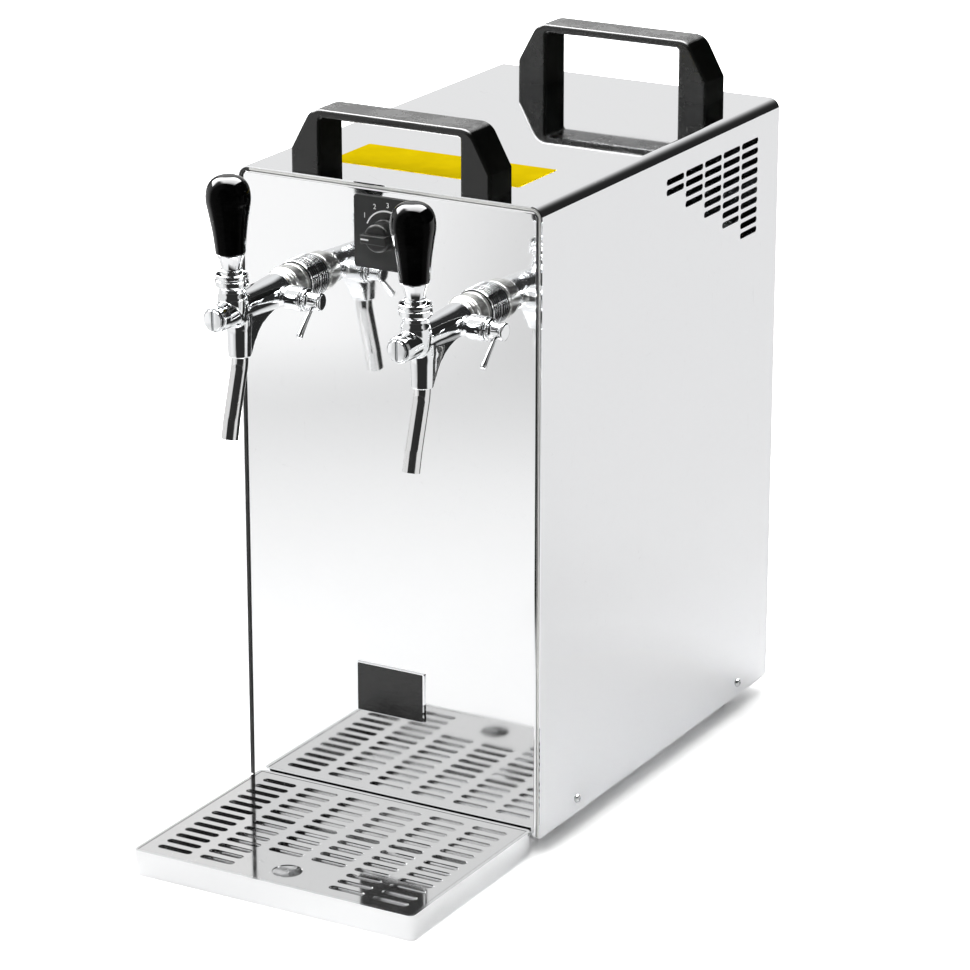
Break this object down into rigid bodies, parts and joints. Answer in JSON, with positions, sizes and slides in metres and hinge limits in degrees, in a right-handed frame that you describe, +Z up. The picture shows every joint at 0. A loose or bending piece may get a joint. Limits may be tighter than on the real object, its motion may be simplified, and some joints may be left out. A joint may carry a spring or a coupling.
{
  "type": "draft beer cooler",
  "caption": "Countertop dry-contact beer cooler in a stainless housing, with chrome taps over a slotted drip tray and carrying handles on top.",
  "frame": {"origin": "on the surface that it stands on, under the middle of the box round the cooler, its tray and its rear fittings", "axes": "+Z up, -Y towards the drinker, +X to the right seen from the front"},
  "size_m": [0.268, 0.605, 0.5635],
  "materials": {
    "stainless_shell": "fine satin stainless sheet",
    "stainless_mirror": "mirror-polished stainless sheet",
    "stainless_plain": "plain mill-finish stainless",
    "chrome_plate": "polished chrome plate on brass",
    "brass_bare": "bare machined brass",
    "steel_zinc": "bright zinc-plated steel",
    "aluminium_cast": "rough cast aluminium",
    "aluminium_fin": "thin plain aluminium fins",
    "copper_tube": "bright drawn copper",
    "plastic_handle": "satin moulded black plastic",
    "plastic_gloss": "glossy black plastic",
    "plastic_black": "plain black plastic",
    "plastic_grey": "plain grey plastic",
    "label_yellow": "plain yellow self-adhesive label",
    "badge_black": "glossy black plate",
    "rubber_black": "moulded black rubber",
    "foam_grey": "closed-cell foam",
    "paint_black": "black enamel"
  },
  "bodies": {
    "root": {"outer_shell": "stainless_shell", "front_panel": "stainless_mirror", "back_panel": "stainless_shell", "base_plate": "stainless_plain", "feet": "rubber_black", "foot_screws": "steel_zinc", "front_handle": "plastic_handle", "rear_handle": "plastic_handle", "handle_screws": "steel_zinc", "side_screws": "stainless_plain", "back_screws": "stainless_plain", "label_plate": "label_yellow", "badge_plate": "badge_black", "thermostat_plate": "plastic_black", "thermostat_body": "plastic_grey", "lock_nuts": "brass_bare", "nose_screws": "chrome_plate", "insulation_tub": "foam_grey", "tub_shelf": "steel_zinc", "cooling_block": "aluminium_cast", "evaporator_coil": "copper_tube", "left_product_coil": "stainless_plain", "right_product_coil": "stainless_plain", "compressor": "paint_black", "compressor_grommets": "rubber_black", "condenser": "aluminium_fin", "fan_shroud": "steel_zinc", "fan_motor": "paint_black", "refrigerant_lines": "copper_tube", "left_beer_fitting": "plastic_black", "right_beer_fitting": "plastic_black", "air_fitting": "plastic_black", "edge_seal": "rubber_black", "edge_trim": "stainless_plain", "air_pump": "plastic_grey", "air_hose": "rubber_black", "power_inlet": "plastic_black", "left_wall_ring": "chrome_plate", "left_coupling_nut": "chrome_plate", "left_tap_shank": "brass_bare", "left_tap_body": "chrome_plate", "left_bonnet_nut": "chrome_plate", "left_spout": "stainless_plain", "right_wall_ring": "chrome_plate", "right_coupling_nut": "chrome_plate", "right_tap_shank": "brass_bare", "right_tap_body": "chrome_plate", "right_bonnet_nut": "chrome_plate", "right_spout": "stainless_plain"},
    "left_lever": {"left_tap_lever": "chrome_plate", "left_lever_knob": "plastic_gloss"},
    "left_valve": {"left_valve_piston": "stainless_plain"},
    "left_flow_lever": {"left_compensator_lever": "chrome_plate"},
    "left_flow_cone": {"left_compensator_cone": "plastic_grey"},
    "right_lever": {"right_tap_lever": "chrome_plate", "right_lever_knob": "plastic_gloss"},
    "right_valve": {"right_valve_piston": "stainless_plain"},
    "right_flow_lever": {"right_compensator_lever": "chrome_plate"},
    "right_flow_cone": {"right_compensator_cone": "plastic_grey"},
    "dial": {"thermostat_knob": "plastic_black"},
    "tray": {"drip_tray": "stainless_shell"},
    "grille": {"drip_grille": "stainless_shell"},
    "fan": {"fan_blade": "aluminium_fin"}
  },
  "joints": [
    {"name": "left_lever_tilt", "type": "hinge", "parent": "root", "child": "left_lever", "pos_m": [-0.0755, -0.217, 0.4575], "axis": [1, 0, 0], "range_deg": [-15, 22]},
    {"name": "left_valve_slide", "type": "slide", "parent": "root", "child": "left_valve", "axis": [0, 1, 0], "range_m": [-0.0063, 0.0093]},
    {"name": "left_flow_lever_turn", "type": "hinge", "parent": "root", "child": "left_flow_lever", "pos_m": [-0.0425, -0.1645, 0.4305], "axis": [1, 0, 0], "range_deg": [-45, 45]},
    {"name": "left_flow_cone_slide", "type": "slide", "parent": "root", "child": "left_flow_cone", "axis": [0, 1, 0], "range_m": [-0.0022, 0.0022]},
    {"name": "right_lever_tilt", "type": "hinge", "parent": "root", "child": "right_lever", "pos_m": [0.0815, -0.217, 0.4575], "axis": [1, 0, 0], "range_deg": [-15, 22]},
    {"name": "right_valve_slide", "type": "slide", "parent": "root", "child": "right_valve", "axis": [0, 1, 0], "range_m": [-0.0063, 0.0093]},
    {"name": "right_flow_lever_turn", "type": "hinge", "parent": "root", "child": "right_flow_lever", "pos_m": [0.1145, -0.1645, 0.4305], "axis": [1, 0, 0], "range_deg": [-45, 45]},
    {"name": "right_flow_cone_slide", "type": "slide", "parent": "root", "child": "right_flow_cone", "axis": [0, 1, 0], "range_m": [-0.0022, 0.0022]},
    {"name": "dial_turn", "type": "hinge", "parent": "root", "child": "dial", "pos_m": [0, -0.1215, 0.4765], "axis": [0, 1, 0], "range_deg": [-135, 135]},
    {"name": "tray_pull", "type": "slide", "parent": "root", "child": "tray", "axis": [0, -1, 0], "range_m": [0, 0.15]},
    {"name": "grille_lift", "type": "slide", "parent": "tray", "child": "grille", "axis": [0, 0, 1], "range_m": [0, 0.08]},
    {"name": "fan_spin", "type": "hinge", "parent": "root", "child": "fan", "pos_m": [0, 0.24, 0.3435], "axis": [0, 1, 0], "continuous": true}
  ],
  "couplings": [
    {"joint": "left_valve_slide", "follows": "left_lever_tilt", "m_per_rad": 0.024},
    {"joint": "left_flow_cone_slide", "follows": "left_flow_lever_turn", "m_per_rad": -0.0028},
    {"joint": "right_valve_slide", "follows": "right_lever_tilt", "m_per_rad": 0.024},
    {"joint": "right_flow_cone_slide", "follows": "right_flow_lever_turn", "m_per_rad": -0.0028}
  ]
}
